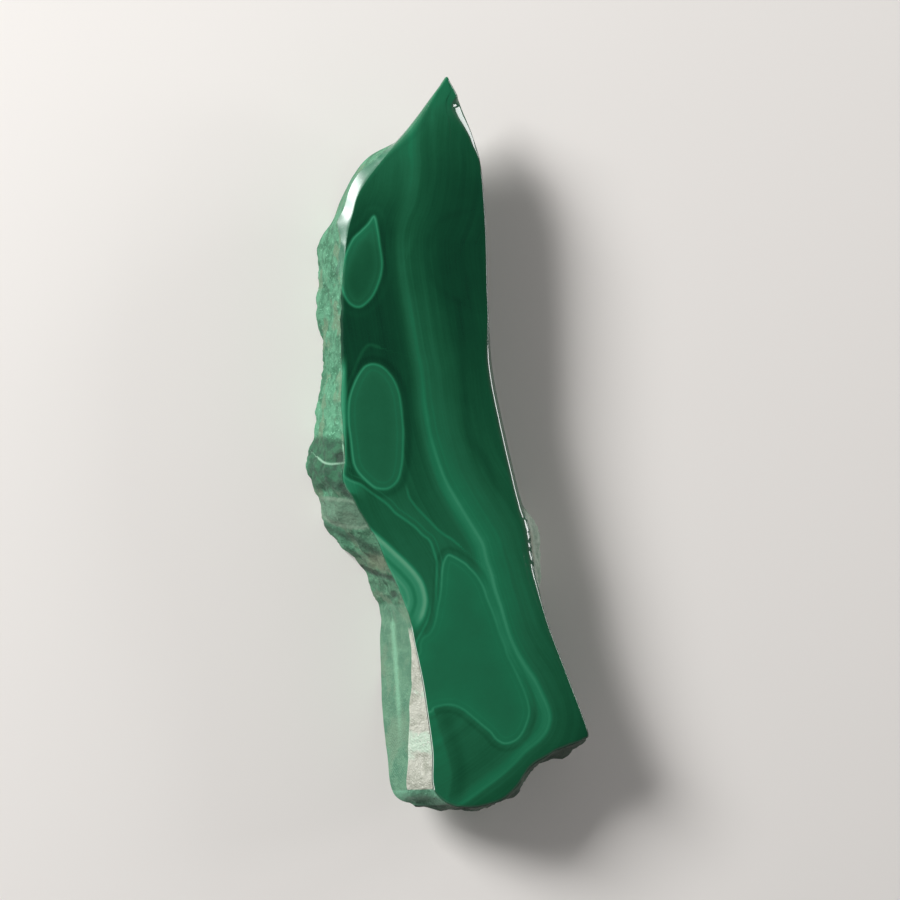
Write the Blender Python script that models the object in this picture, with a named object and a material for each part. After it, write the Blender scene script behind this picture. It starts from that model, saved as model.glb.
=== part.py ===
"""Polished malachite slab: one natural stone lying on its sawn back.

Metres, +Z up. The polished face looks up, the pointed end is towards +Y, and the flat sawn back is
at z = 0 with the origin near the middle of the back. Towards both ends the underside leaves the back
and rises, so the pointed end and the broken end stand clear of what the slab lies on.

The slab is drawn as stations round its rim. Each one gives where the polished face ends, where the
underside ends below it, and how the wall between the two is worked: polished, split, sawn or broken.
"""

import math
from typing import NamedTuple

import bmesh
import bpy
from mathutils import Vector, noise

MM = 0.001

# Driving sizes
THICKNESS = 12.0 * MM
FACE_DOME = 0.35 * MM
BACK_CHAMFER = 0.4 * MM

# The underside's rise at each end: where along the slab it starts and ends, and its height there
TIP_RISE_FROM = 31.0 * MM
TIP_RISE_TO = 52.0 * MM
TIP_RISE = 10.0 * MM
BROKEN_RISE_FROM = -32.0 * MM
BROKEN_RISE_TO = -50.0 * MM
BROKEN_RISE = 7.5 * MM
RISE_POWER = 1.25

# The most of the local thickness that the turned edge and the shoulder take
EDGE_SHARE = 0.6
SHOULDER_SHARE = 0.75

# Cells of the mesh
CELLS_ALONG = 84
CELLS_ACROSS = 14
EDGE_ROWS = 4
SHOULDER_ROWS = 4
WALL_ROWS = 7
SAMPLES_PER_STATION = 12

# Broken relief: size of its lumps and of the smaller ones on them, how far down it grows to its full
# height, and its share at the face
LUMP_SIZE = 4.2 * MM
SMALL_LUMP_SIZE = 1.7 * MM
SMALL_LUMP_SHARE = 0.4
RELIEF_FADE = 2.5 * MM
RELIEF_AT_FACE = 0.15

STONE_GREEN = (0.013, 0.075, 0.036, 1.0)
STONE_ROUGHNESS = 0.14
SMOOTH_ANGLE = math.radians(32)


class Wall(NamedTuple):
    """How the wall is worked, in millimetres: the turned edge's reach inwards and downwards, the
    shoulder as its share of the way out to the back's edge and its depth, the relief's height, and how
    flat the turned edge is, from 0 for a round one to 1 for a bevel."""

    edge_in: float
    edge_down: float
    shoulder_share: float
    shoulder_down: float
    relief: float
    edge_flat: float = 0.0


class Station(NamedTuple):
    """One place on the rim, in millimetres: the face's edge, the back's edge, and the wall's work."""

    face: tuple[float, float]
    back: tuple[float, float]
    wall: Wall


TIP = Wall(0.5, 0.8, 0.4, 5.0, 0.05)
TIP_FACET = Wall(1.7, 0.95, 0.4, 5.0, 0.05, edge_flat=0.85)
TIP_FACET_LOW = Wall(0.7, 0.4, 0.4, 5.0, 0.05, edge_flat=0.85)
POLISHED = Wall(1.5, 1.7, 0.4, 5.0, 0.06)
KEEN = Wall(0.35, 0.4, 0.4, 5.0, 0.06)
FACET_START = Wall(0.4, 0.25, 0.58, 0.55, 0.06)
FACET_WIDE = Wall(0.4, 0.25, 1.95, 0.9, 0.06)
FACET_LOW = Wall(0.4, 0.25, 1.7, 1.0, 0.06)
FACET_END = Wall(0.35, 0.2, 0.35, 0.5, 0.3)
SPLIT = Wall(0.8, 0.9, 0.35, 4.5, 0.6)
CRACKED = Wall(0.5, 0.5, 0.6, 2.5, 0.8)
LEDGE = Wall(0.4, 0.4, 0.8, 3.4, 0.7)
SLOPE = Wall(0.4, 0.5, 0.6, 4.5, 0.6)
SAWN = Wall(0.35, 0.35, 0.2, 1.2, 0.22)
BEVEL_POINT = Wall(0.3, 0.3, 0.16, 0.5, 0.06)
BEVEL_NARROW = Wall(0.3, 0.3, 0.36, 1.0, 0.06)
BEVEL_MIDDLE = Wall(0.3, 0.3, 0.5, 1.5, 0.06)
BEVEL_WIDE = Wall(0.3, 0.3, 0.62, 1.8, 0.06)
BEVEL_END = Wall(0.3, 0.3, 0.7, 1.9, 0.06)
BROKEN = Wall(0.5, 0.6, 0.62, 4.2, 0.85)
STEPPED = Wall(1.4, 1.5, 1.45, 5.5, 0.5)

# From the tip down the left side
LEFT_SIDE = (
    Station((-3.2, 50.2), (-2.4, 49.6), TIP),
    Station((-6.9, 45.2), (-6.0, 44.5), POLISHED),
    Station((-11.0, 39.9), (-11.8, 41.0), FACET_START),
    Station((-14.1, 35.5), (-14.7, 35.9), FACET_WIDE),
    Station((-15.1, 32.3), (-15.95, 32.5), FACET_LOW),
    Station((-16.0, 28.2), (-18.0, 28.9), FACET_END),
    Station((-16.8, 20.4), (-17.9, 20.8), SPLIT),
    Station((-16.8, 13.4), (-17.3, 13.8), SPLIT),
    Station((-16.7, 5.1), (-18.2, 5.4), SPLIT),
    Station((-16.2, -0.6), (-19.2, -0.2), CRACKED),
    Station((-16.4, -4.2), (-19.4, -3.6), CRACKED),
    Station((-14.8, -7.4), (-17.8, -7.0), LEDGE),
    Station((-13.0, -10.4), (-17.2, -10.0), LEDGE),
    Station((-11.4, -13.0), (-14.7, -12.9), LEDGE),
    Station((-10.1, -16.2), (-11.9, -16.4), SLOPE),
    Station((-8.4, -19.9), (-9.8, -20.3), SLOPE),
    Station((-7.1, -23.2), (-8.9, -23.6), SAWN),
    Station((-6.3, -27.0), (-8.9, -27.4), BEVEL_POINT),
    Station((-5.2, -31.8), (-8.8, -32.4), BEVEL_NARROW),
    Station((-4.5, -36.2), (-8.9, -36.7), BEVEL_MIDDLE),
    Station((-3.7, -42.0), (-8.7, -42.5), BEVEL_WIDE),
    Station((-3.6, -46.6), (-8.2, -48.3), BEVEL_END),
)
# From the left side's lower end to the right side's
BROKEN_END = (
    Station((-2.2, -48.9), (-4.1, -50.0), BROKEN),
    Station((0.5, -49.8), (0.3, -50.6), BROKEN),
    Station((4.4, -49.5), (4.9, -50.5), BROKEN),
    Station((7.3, -48.1), (8.0, -49.2), BROKEN),
    Station((9.0, -46.2), (10.4, -47.4), BROKEN),
    Station((10.4, -44.2), (11.7, -45.1), BROKEN),
    Station((13.0, -42.7), (13.8, -44.2), BROKEN),
    Station((15.8, -41.4), (16.8, -43.4), BROKEN),
    Station((18.0, -40.7), (18.5, -42.1), BROKEN),
)
# From the lower end up the right side
RIGHT_SIDE = (
    Station((18.5, -39.2), (19.0, -39.7), KEEN),
    Station((15.4, -31.1), (16.0, -31.2), KEEN),
    Station((12.5, -23.4), (13.2, -23.5), KEEN),
    Station((11.0, -16.4), (12.4, -16.5), STEPPED),
    Station((10.1, -11.4), (11.9, -11.3), STEPPED),
    Station((8.6, -5.2), (9.3, -5.1), POLISHED),
    Station((6.6, 3.2), (7.2, 3.3), POLISHED),
    Station((5.0, 11.2), (5.6, 11.3), POLISHED),
    Station((4.2, 20.2), (4.7, 20.2), KEEN),
    Station((3.9, 30.6), (4.3, 30.6), KEEN),
    Station((3.2, 39.4), (3.0, 39.3), KEEN),
    Station((2.15, 43.3), (2.0, 43.2), TIP_FACET_LOW),
    Station((0.45, 47.9), (0.2, 47.6), TIP_FACET),
    Station((-0.2, 49.6), (-0.5, 49.3), TIP),
    Station((-1.1, 51.2), (-1.4, 50.6), TIP),
)
# Across the tip, from the right side back to the left
POINTED_END = (Station((-1.8, 52.1), (-1.8, 51.3), TIP),)


class Section(NamedTuple):
    """The rim at one sampled place: the face's edge, the back's edge, the way out and the wall's work."""

    face: Vector
    back: Vector
    outward: Vector
    wall: Wall


def between(values: list, share: float) -> list[float]:
    """Catmull-Rom value of each column, between the middle two of four rows."""
    return [
        0.5
        * (
            2 * b
            + (c - a) * share
            + (2 * a - 5 * b + 4 * c - d) * share**2
            + (3 * b - a - 3 * c + d) * share**3
        )
        for a, b, c, d in zip(*values)
    ]


def sample_rim(stations: list[Station]) -> list[Station]:
    """Finely spaced stations on the smooth closed line through the given ones."""
    fine = []
    count = len(stations)
    for index, station in enumerate(stations):
        near = [stations[(index + step) % count] for step in (-1, 0, 1, 2)]
        for step in range(SAMPLES_PER_STATION):
            share = step / SAMPLES_PER_STATION
            face = between([item.face for item in near], share)
            back = between([item.back for item in near], share)
            blend = share * share * (3 - 2 * share)
            wall = Wall(*(a + (b - a) * blend for a, b in zip(station.wall, near[2].wall)))
            fine.append(Station(tuple(face), tuple(back), wall))
    return fine


def spread(fine: list[Station], first: int, last: int, cells: int) -> list[Station]:
    """Stations at equal steps of length along the face's edge, from one fine station towards another."""
    run = [fine[index % len(fine)] for index in range(first, last + 1)]
    lengths = [0.0]
    for here, ahead in zip(run, run[1:]):
        lengths.append(lengths[-1] + math.dist(here.face, ahead.face) + math.dist(here.back, ahead.back))
    spaced = []
    place = 0
    for cell in range(cells):
        target = lengths[-1] * cell / cells
        while lengths[place + 1] <= target:
            place += 1
        share = (target - lengths[place]) / (lengths[place + 1] - lengths[place])
        here, ahead = run[place], run[place + 1]
        mixed = [[a + (b - a) * share for a, b in zip(*pair)] for pair in zip(here, ahead)]
        spaced.append(Station(tuple(mixed[0]), tuple(mixed[1]), Wall(*mixed[2])))
    return spaced


def rim_sections() -> list[Section]:
    """The whole rim in metres, from the tip's left corner anticlockwise, in the face grid's cells."""
    stations = [*LEFT_SIDE, *BROKEN_END, *RIGHT_SIDE, *POINTED_END]
    fine = sample_rim(stations)
    corners = [0, len(LEFT_SIDE) - 1, len(LEFT_SIDE) + len(BROKEN_END), len(stations) - 2, len(stations)]
    corners = [corner * SAMPLES_PER_STATION for corner in corners]
    cells = (CELLS_ALONG, CELLS_ACROSS, CELLS_ALONG, CELLS_ACROSS)
    rim = []
    for side, count in enumerate(cells):
        rim += spread(fine, corners[side], corners[side + 1], count)
    sections = []
    for index, station in enumerate(rim):
        before, after = rim[index - 1].face, rim[(index + 1) % len(rim)].face
        along = Vector((after[0] - before[0], after[1] - before[1], 0)).normalized()
        wall = Wall(*(value * MM for value in station.wall))._replace(
            shoulder_share=station.wall.shoulder_share, edge_flat=station.wall.edge_flat
        )
        face = Vector((*station.face, 0)) * MM
        back = Vector((*station.back, 0)) * MM
        sections.append(Section(face, back, Vector((along.y, -along.x, 0)), wall))
    return sections


def underside(along: float) -> float:
    """Height of the underside above the flat back, by the place along the slab."""
    tip = max(0.0, (along - TIP_RISE_FROM) / (TIP_RISE_TO - TIP_RISE_FROM))
    broken = max(0.0, (along - BROKEN_RISE_FROM) / (BROKEN_RISE_TO - BROKEN_RISE_FROM))
    return TIP_RISE * tip**RISE_POWER + BROKEN_RISE * broken**RISE_POWER


def profile(section: Section) -> list[Vector]:
    """Points down the wall, from where the face starts to turn down to the edge of the underside."""
    wall = section.wall
    run = section.back - section.face
    top = Vector((0, 0, THICKNESS))
    low = underside(section.back.y)
    edge_down = min(wall.edge_down, EDGE_SHARE * (THICKNESS - low))
    shoulder_down = min(wall.shoulder_down, SHOULDER_SHARE * (THICKNESS - low))
    slope = wall.shoulder_share / shoulder_down
    start = section.face - section.outward * wall.edge_in + top
    turned = section.face + run * slope * edge_down + top - Vector((0, 0, edge_down))
    corner = (section.face + top).lerp(start.lerp(turned, 0.5), wall.edge_flat)
    shoulder = section.face + run * wall.shoulder_share + top - Vector((0, 0, shoulder_down))
    foot = section.back + Vector((0, 0, low + BACK_CHAMFER))
    points = []
    for row in range(EDGE_ROWS):
        share = row / EDGE_ROWS
        points.append(start.lerp(corner, share).lerp(corner.lerp(turned, share), share))
    points += [turned.lerp(shoulder, row / SHOULDER_ROWS) for row in range(SHOULDER_ROWS)]
    points += [shoulder.lerp(foot, row / WALL_ROWS) for row in range(WALL_ROWS + 1)]
    points = [roughen(point, section) for point in points]
    points.append(Vector((*points[-1].xy, low)) - section.outward * BACK_CHAMFER)
    return points


def roughen(point: Vector, section: Section) -> Vector:
    """The point moved in or out by the broken stone's lumps, which fade out towards the face."""
    lumps = noise.fractal(point / LUMP_SIZE, 1.0, 2.0, 2)
    small = noise.noise(point / SMALL_LUMP_SIZE)
    fade = min(1.0, RELIEF_AT_FACE + (THICKNESS - point.z) / RELIEF_FADE)
    return point + section.outward * section.wall.relief * fade * (lumps + SMALL_LUMP_SHARE * small)


def face_point(rim: list[Vector], across: int, along: int) -> Vector:
    """A point of the polished face: its four sides blended across the grid, raised into a low dome."""
    left = rim[along]
    right = rim[2 * CELLS_ALONG + CELLS_ACROSS - along]
    low = rim[CELLS_ALONG + across]
    high = rim[-across]
    s, t = across / CELLS_ACROSS, along / CELLS_ALONG
    corners = (
        rim[0].lerp(rim[-CELLS_ACROSS], s).lerp(rim[CELLS_ALONG].lerp(rim[CELLS_ALONG + CELLS_ACROSS], s), t)
    )
    point = left.lerp(right, s) + high.lerp(low, t) - corners
    point.z += FACE_DOME * (1 - (2 * s - 1) ** 2) * (1 - (2 * t - 1) ** 6)
    return point


def polished_face(mesh: bmesh.types.BMesh, rim: list[Vector]) -> list[bmesh.types.BMVert]:
    """Lays a grid over the face and returns its outer vertices in the rim's order."""
    grid = bmesh.ops.create_grid(mesh, x_segments=CELLS_ACROSS, y_segments=CELLS_ALONG, size=0.5)
    border = {}
    for vertex in grid["verts"]:
        across = round((vertex.co.x + 0.5) * CELLS_ACROSS)
        along = round((0.5 - vertex.co.y) * CELLS_ALONG)
        if across == 0:
            border[along] = vertex
        elif along == CELLS_ALONG:
            border[CELLS_ALONG + across] = vertex
        elif across == CELLS_ACROSS:
            border[2 * CELLS_ALONG + CELLS_ACROSS - along] = vertex
        elif along == 0:
            border[len(rim) - across] = vertex
        vertex.co = face_point(rim, across, along)
    return [border[index] for index in range(len(rim))]


def extrude_ring(mesh: bmesh.types.BMesh, ring: list[bmesh.types.BMVert], places: list[Vector]) -> list:
    """Extrudes the open rim by one row of faces and puts each new vertex in its place."""
    edges = [mesh.edges.get((a, b)) for a, b in zip(ring, ring[1:] + ring[:1])]
    made = set(bmesh.ops.extrude_edge_only(mesh, edges=edges)["geom"])
    ring_below = []
    for vertex, place in zip(ring, places):
        below = next(other for edge in vertex.link_edges if (other := edge.other_vert(vertex)) in made)
        below.co = place
        ring_below.append(below)
    return ring_below


def close_underside(mesh: bmesh.types.BMesh, ring: list[bmesh.types.BMVert]) -> None:
    """Closes the stone below with rungs from side to side and a face across each end."""
    right = 2 * CELLS_ALONG + CELLS_ACROSS
    faces = [[ring[k], ring[k + 1], ring[right - k - 1], ring[right - k]] for k in range(CELLS_ALONG)]
    faces.append([ring[0], *ring[right:]])
    faces.append(ring[CELLS_ALONG : CELLS_ALONG + CELLS_ACROSS + 1])
    bmesh.ops.triangulate(mesh, faces=[mesh.faces.new(corners) for corners in faces])


def stone_material() -> bpy.types.Material:
    """Dark green polished malachite."""
    material = bpy.data.materials.new("malachite")
    material.use_nodes = True
    shader = material.node_tree.nodes["Principled BSDF"]
    shader.inputs["Base Color"].default_value = STONE_GREEN
    shader.inputs["Roughness"].default_value = STONE_ROUGHNESS
    shader.inputs["Metallic"].default_value = 0.0
    return material


def make_slab() -> bpy.types.Object:
    """The whole stone: the face's grid, the wall extruded down from it row by row, and the underside."""
    columns = [profile(section) for section in rim_sections()]
    rows = [list(row) for row in zip(*columns)]
    mesh = bmesh.new()
    ring = polished_face(mesh, rows[0])
    for places in rows[1:]:
        ring = extrude_ring(mesh, ring, places)
    close_underside(mesh, ring)
    bmesh.ops.recalc_face_normals(mesh, faces=mesh.faces)
    data = bpy.data.meshes.new("malachite_slab")
    mesh.to_mesh(data)
    mesh.free()
    data.shade_smooth()
    data.set_sharp_from_angle(angle=SMOOTH_ANGLE)
    data.materials.append(stone_material())
    slab = bpy.data.objects.new("malachite_slab", data)
    bpy.context.scene.collection.objects.link(slab)
    return slab


for leftover in list(bpy.data.objects):
    bpy.data.objects.remove(leftover)
make_slab()
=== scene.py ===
"""Looks of the polished malachite slab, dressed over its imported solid.

Metres, +Z up, in the solid's own frame: the polished face looks up, the pointed end is towards +Y and
the sawn back lies at z = 0, from which the underside rises towards both ends. The slab is one stone. Its
rim is the solid's, sampled more finely, and its markings are lines drawn in millimetres, which the
material reads as distances from each line.
"""

import logging
import math
from dataclasses import dataclass, field
from enum import Enum

import bpy
import numpy as np
from mathutils import Matrix, Vector, noise

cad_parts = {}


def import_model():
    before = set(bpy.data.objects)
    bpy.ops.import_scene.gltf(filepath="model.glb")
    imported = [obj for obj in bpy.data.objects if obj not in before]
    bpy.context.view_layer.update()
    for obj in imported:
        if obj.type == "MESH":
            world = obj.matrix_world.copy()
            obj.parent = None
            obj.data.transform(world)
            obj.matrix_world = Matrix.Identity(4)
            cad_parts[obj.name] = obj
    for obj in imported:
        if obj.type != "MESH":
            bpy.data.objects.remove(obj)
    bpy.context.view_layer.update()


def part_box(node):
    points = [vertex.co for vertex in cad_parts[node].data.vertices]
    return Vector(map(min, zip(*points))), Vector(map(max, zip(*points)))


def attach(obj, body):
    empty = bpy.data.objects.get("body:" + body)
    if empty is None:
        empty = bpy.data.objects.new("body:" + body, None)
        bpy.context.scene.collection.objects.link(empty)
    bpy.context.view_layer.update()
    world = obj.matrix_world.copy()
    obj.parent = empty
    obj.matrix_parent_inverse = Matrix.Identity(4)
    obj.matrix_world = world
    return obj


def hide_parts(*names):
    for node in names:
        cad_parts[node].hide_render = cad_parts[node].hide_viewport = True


MM = 0.001
NODE = "malachite_slab"
# The photograph's viewpoint, in millimetres
VIEWPOINT = (-96.2, -7.05, 437.2)
LOG = logging.getLogger("slab")


class Finish(Enum):
    """How a stretch of the stone's surface is worked."""

    POLISH = 0
    SPLIT = 1
    LEDGE = 2
    SAWN = 3
    BEVEL = 4
    BROKEN = 5
    CHIP = 6
    FACET = 7


@dataclass(frozen=True)
class Wall:
    """How the wall is worked at one place, in millimetres.

    The turned edge reaches inwards and down, the shoulder is a share of the way out to the back's edge
    and a depth, the relief is the height of the broken lumps, and the edge is round at a flatness of 0 and
    a bevel at 1.
    """

    edge_in: float
    edge_down: float
    shoulder_share: float
    shoulder_down: float
    relief: float
    upper: Finish = Finish.POLISH
    lower: Finish = Finish.POLISH
    edge_flat: float = 0.0

    def numbers(self) -> list[float]:
        """The sizes, then the shares of each finish above and below the shoulder."""
        edge = [self.edge_in, self.edge_down]
        shoulder = [self.shoulder_share, self.shoulder_down]
        upper = [float(item is self.upper) for item in Finish]
        lower = [float(item is self.lower) for item in Finish]
        return edge + shoulder + [self.relief, self.edge_flat] + upper + lower


class Work(Enum):
    """The named walls of the slab."""

    TIP = Wall(0.5, 0.8, 0.4, 5.0, 0.05)
    TIP_FACET = Wall(1.7, 0.95, 0.4, 5.0, 0.05, edge_flat=0.85)
    TIP_FACET_LOW = Wall(0.7, 0.4, 0.4, 5.0, 0.05, edge_flat=0.85)
    POLISHED = Wall(1.5, 1.7, 0.4, 5.0, 0.06)
    KEEN = Wall(0.35, 0.4, 0.4, 5.0, 0.06)
    FACET_START = Wall(0.4, 0.25, 0.58, 0.55, 0.06, Finish.FACET, Finish.SPLIT)
    FACET_WIDE = Wall(0.4, 0.25, 1.95, 0.9, 0.06, Finish.FACET, Finish.SPLIT)
    FACET_LOW = Wall(0.4, 0.25, 1.7, 1.0, 0.06, Finish.FACET, Finish.SPLIT)
    FACET_END = Wall(0.35, 0.2, 0.35, 0.5, 0.3, Finish.FACET, Finish.SPLIT)
    SPLIT = Wall(0.8, 0.9, 0.35, 4.5, 0.6, Finish.SPLIT, Finish.SPLIT)
    CRACKED = Wall(0.5, 0.5, 0.6, 2.5, 0.8, Finish.SPLIT, Finish.SPLIT)
    LEDGE = Wall(0.4, 0.4, 0.8, 3.4, 0.7, Finish.LEDGE, Finish.SPLIT)
    SLOPE = Wall(0.4, 0.5, 0.6, 4.5, 0.6, Finish.LEDGE, Finish.LEDGE)
    SAWN = Wall(0.35, 0.35, 0.2, 1.2, 0.22, Finish.SAWN, Finish.SAWN)
    BEVEL_POINT = Wall(0.3, 0.3, 0.16, 0.5, 0.06, Finish.BEVEL, Finish.SAWN)
    BEVEL_NARROW = Wall(0.3, 0.3, 0.36, 1.0, 0.06, Finish.BEVEL, Finish.SAWN)
    BEVEL_MIDDLE = Wall(0.3, 0.3, 0.5, 1.5, 0.06, Finish.BEVEL, Finish.SAWN)
    BEVEL_WIDE = Wall(0.3, 0.3, 0.62, 1.8, 0.06, Finish.BEVEL, Finish.SAWN)
    BEVEL_END = Wall(0.3, 0.3, 0.7, 1.9, 0.06, Finish.BEVEL, Finish.SAWN)
    BROKEN = Wall(0.5, 0.6, 0.62, 4.2, 0.85, Finish.BROKEN, Finish.BROKEN)
    STEPPED = Wall(1.4, 1.5, 1.45, 5.5, 0.5, Finish.CHIP, Finish.CHIP)


# Each station is the face's edge and the back's edge, in millimetres, and the wall's work
# From the tip down the left side
LEFT_SIDE = (
    ((-3.2, 50.2), (-2.4, 49.6), Work.TIP),
    ((-6.9, 45.2), (-6.0, 44.5), Work.POLISHED),
    ((-11.0, 39.9), (-11.8, 41.0), Work.FACET_START),
    ((-14.1, 35.5), (-14.7, 35.9), Work.FACET_WIDE),
    ((-15.1, 32.3), (-15.95, 32.5), Work.FACET_LOW),
    ((-16.0, 28.2), (-18.0, 28.9), Work.FACET_END),
    ((-16.8, 20.4), (-17.9, 20.8), Work.SPLIT),
    ((-16.8, 13.4), (-17.3, 13.8), Work.SPLIT),
    ((-16.7, 5.1), (-18.2, 5.4), Work.SPLIT),
    ((-16.2, -0.6), (-19.2, -0.2), Work.CRACKED),
    ((-16.4, -4.2), (-19.4, -3.6), Work.CRACKED),
    ((-14.8, -7.4), (-17.8, -7.0), Work.LEDGE),
    ((-13.0, -10.4), (-17.2, -10.0), Work.LEDGE),
    ((-11.4, -13.0), (-14.7, -12.9), Work.LEDGE),
    ((-10.1, -16.2), (-11.9, -16.4), Work.SLOPE),
    ((-8.4, -19.9), (-9.8, -20.3), Work.SLOPE),
    ((-7.1, -23.2), (-8.9, -23.6), Work.SAWN),
    ((-6.3, -27.0), (-8.9, -27.4), Work.BEVEL_POINT),
    ((-5.2, -31.8), (-8.8, -32.4), Work.BEVEL_NARROW),
    ((-4.5, -36.2), (-8.9, -36.7), Work.BEVEL_MIDDLE),
    ((-3.7, -42.0), (-8.7, -42.5), Work.BEVEL_WIDE),
    ((-3.6, -46.6), (-8.2, -48.3), Work.BEVEL_END),
)
# From the left side's lower end to the right side's
BROKEN_END = (
    ((-2.2, -48.9), (-4.1, -50.0), Work.BROKEN),
    ((0.5, -49.8), (0.3, -50.6), Work.BROKEN),
    ((4.4, -49.5), (4.9, -50.5), Work.BROKEN),
    ((7.3, -48.1), (8.0, -49.2), Work.BROKEN),
    ((9.0, -46.2), (10.4, -47.4), Work.BROKEN),
    ((10.4, -44.2), (11.7, -45.1), Work.BROKEN),
    ((13.0, -42.7), (13.8, -44.2), Work.BROKEN),
    ((15.8, -41.4), (16.8, -43.4), Work.BROKEN),
    ((18.0, -40.7), (18.5, -42.1), Work.BROKEN),
)
# From the lower end up the right side
RIGHT_SIDE = (
    ((18.5, -39.2), (19.0, -39.7), Work.KEEN),
    ((15.4, -31.1), (16.0, -31.2), Work.KEEN),
    ((12.5, -23.4), (13.2, -23.5), Work.KEEN),
    ((11.0, -16.4), (12.4, -16.5), Work.STEPPED),
    ((10.1, -11.4), (11.9, -11.3), Work.STEPPED),
    ((8.6, -5.2), (9.3, -5.1), Work.POLISHED),
    ((6.6, 3.2), (7.2, 3.3), Work.POLISHED),
    ((5.0, 11.2), (5.6, 11.3), Work.POLISHED),
    ((4.2, 20.2), (4.7, 20.2), Work.KEEN),
    ((3.9, 30.6), (4.3, 30.6), Work.KEEN),
    ((3.2, 39.4), (3.0, 39.3), Work.KEEN),
    ((2.15, 43.3), (2.0, 43.2), Work.TIP_FACET_LOW),
    ((0.45, 47.9), (0.2, 47.6), Work.TIP_FACET),
    ((-0.2, 49.6), (-0.5, 49.3), Work.TIP),
    ((-1.1, 51.2), (-1.4, 50.6), Work.TIP),
)
# Across the tip, from the right side back to the left
POINTED_END = (((-1.8, 52.1), (-1.8, 51.3), Work.TIP),)


def smooth_line(points: np.ndarray, closed: bool, steps: int) -> np.ndarray:
    """Catmull-Rom points on the smooth line through the given ones.

    Args:
        points: One row of numbers for each given point.
        closed: Whether the line runs back to its start.
        steps: Steps from each point to the next.

    Returns:
        The line's rows, steps for each given point, and the last point itself if the line is open.
    """
    if closed:
        padded = np.vstack([points[-1:], points, points[:2]])
    else:
        padded = np.vstack([2 * points[:1] - points[1:2], points, 2 * points[-1:] - points[-2:-1]])
    share = (np.arange(steps) / steps)[None, :, None]
    a, b, c, d = (padded[k : len(padded) - 3 + k][:, None, :] for k in range(4))
    rows = 0.5 * (
        2 * b + (c - a) * share + (2 * a - 5 * b + 4 * c - d) * share**2 + (3 * b - a - 3 * c + d) * share**3
    )
    rows = rows.reshape(-1, points.shape[1])
    return rows if closed else np.vstack([rows, points[-1:]])


@dataclass(frozen=True)
class Rise:
    """One end of the underside: where along the slab it starts to rise, where it ends, and how high."""

    start: float
    end: float
    height: float
    power: float = 1.25

    def at(self, along: np.ndarray) -> np.ndarray:
        """The rise at places along the slab, in millimetres."""
        return self.height * np.maximum(0.0, (along - self.start) / (self.end - self.start)) ** self.power


RISES = (Rise(31.0, 52.0, 10.0), Rise(-32.0, -50.0, 7.5))


def smooth_step(low: float, high: float, value: np.ndarray) -> np.ndarray:
    """A soft step from 0 at low to 1 at high."""
    share = np.clip((value - low) / (high - low), 0.0, 1.0)
    return share * share * (3 - 2 * share)


def soft_above(line: float, soft: float, value: np.ndarray) -> np.ndarray:
    """1 above a line and 0 below it, with a soft step between."""
    return smooth_step(line - soft, line + soft, value)


@dataclass
class Line:
    """A marking of the stone: a smooth line through points in millimetres on the polished face."""

    name: str
    points: tuple[tuple[float, float], ...]
    closed: bool = False
    steps: int = 4
    drift: float = 0.0

    def measure(self, places: np.ndarray) -> np.ndarray:
        """Where places lie beside the line.

        Args:
            places: Rows of x and y in millimetres.

        Returns:
            Rows of the distance from the line, which is negative inside a closed one and positive on the
            left of an open one, the length along it from its start, and the length left to its end.
        """
        fine = smooth_line(np.array(self.points), self.closed, self.steps)
        if self.closed:
            fine = np.vstack([fine, fine[:1]])
        starts, runs = fine[:-1], np.diff(fine, axis=0)
        lengths = np.hypot(runs[:, 0], runs[:, 1])
        travelled = np.concatenate([[0.0], np.cumsum(lengths)])
        nearest = np.full(len(places), np.inf)
        side = np.ones(len(places))
        along = np.zeros(len(places))
        for start, run, length, done in zip(starts, runs, lengths, travelled):
            gap = places - start
            share = np.clip((gap @ run) / length**2, 0.0, 1.0)
            away = gap - share[:, None] * run
            distance = np.hypot(away[:, 0], away[:, 1])
            closer = distance < nearest
            nearest = np.where(closer, distance, nearest)
            along = np.where(closer, done + share * length, along)
            turn = run[0] * gap[:, 1] - run[1] * gap[:, 0]
            side = np.where(closer, np.where(turn > 0, 1.0, -1.0), side)
        area = np.sum(starts[:, 0] * runs[:, 1] - starts[:, 1] * runs[:, 0])
        if self.closed:
            side = side * (-1.0 if area > 0 else 1.0)
        return np.stack([nearest * side, along, travelled[-1] - along], axis=1)


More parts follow.
